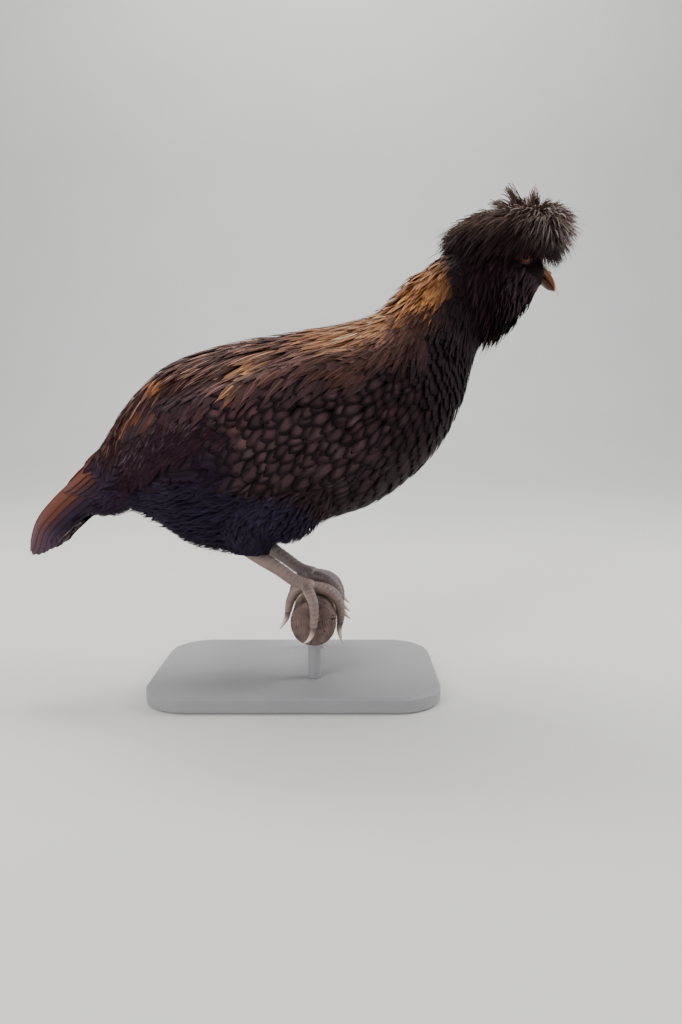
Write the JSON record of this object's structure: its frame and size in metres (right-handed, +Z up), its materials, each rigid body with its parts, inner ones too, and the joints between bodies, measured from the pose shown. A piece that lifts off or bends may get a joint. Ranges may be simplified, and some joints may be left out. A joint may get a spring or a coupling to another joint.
{
  "type": "polish crested chicken",
  "caption": "Still model of a crested, bearded hen with laced plumage, leaning forward on a short cut length of roost pole held up by a plain display stand.",
  "frame": {"origin": "on the underside of the stand's base, straight below the pole's axis and in the hen's plane of symmetry", "axes": "+X the way the hen faces, +Y to its left along the pole, +Z up"},
  "size_m": [0.4455, 0.156, 0.4004],
  "materials": {
    "feather": "soft laced plumage, dark brown to black",
    "hackle": "soft plumage, golden brown",
    "tail": "plumage, chestnut above and grey brown below",
    "crest": "soft plumage, nearly black with grey streaks",
    "scale": "scaled skin, slate",
    "bill": "satin horn",
    "claw": "satin horn",
    "eye": "wet gloss, orange brown with a black pupil",
    "wood": "barked pole with sawn ends, worn smooth",
    "stand": "matt grey paint"
  },
  "bodies": {
    "root": {"stand_base": "stand", "stand_rod_1": "stand", "stand_rod_2": "stand", "perch": "wood", "torso": "feather", "neck": "hackle", "head": "feather", "bill_upper": "bill", "bill_lower": "bill", "crest": "crest", "beard": "crest", "tail": "tail", "eye_left": "eye", "wing_left": "feather", "thigh_left": "feather", "foot_left": "scale", "claw_left_middle": "claw", "claw_left_inner": "claw", "claw_left_outer": "claw", "claw_left_hind": "claw", "eye_right": "eye", "wing_right": "feather", "thigh_right": "feather", "foot_right": "scale", "claw_right_middle": "claw", "claw_right_inner": "claw", "claw_right_outer": "claw", "claw_right_hind": "claw"}
  },
  "joints": []
}
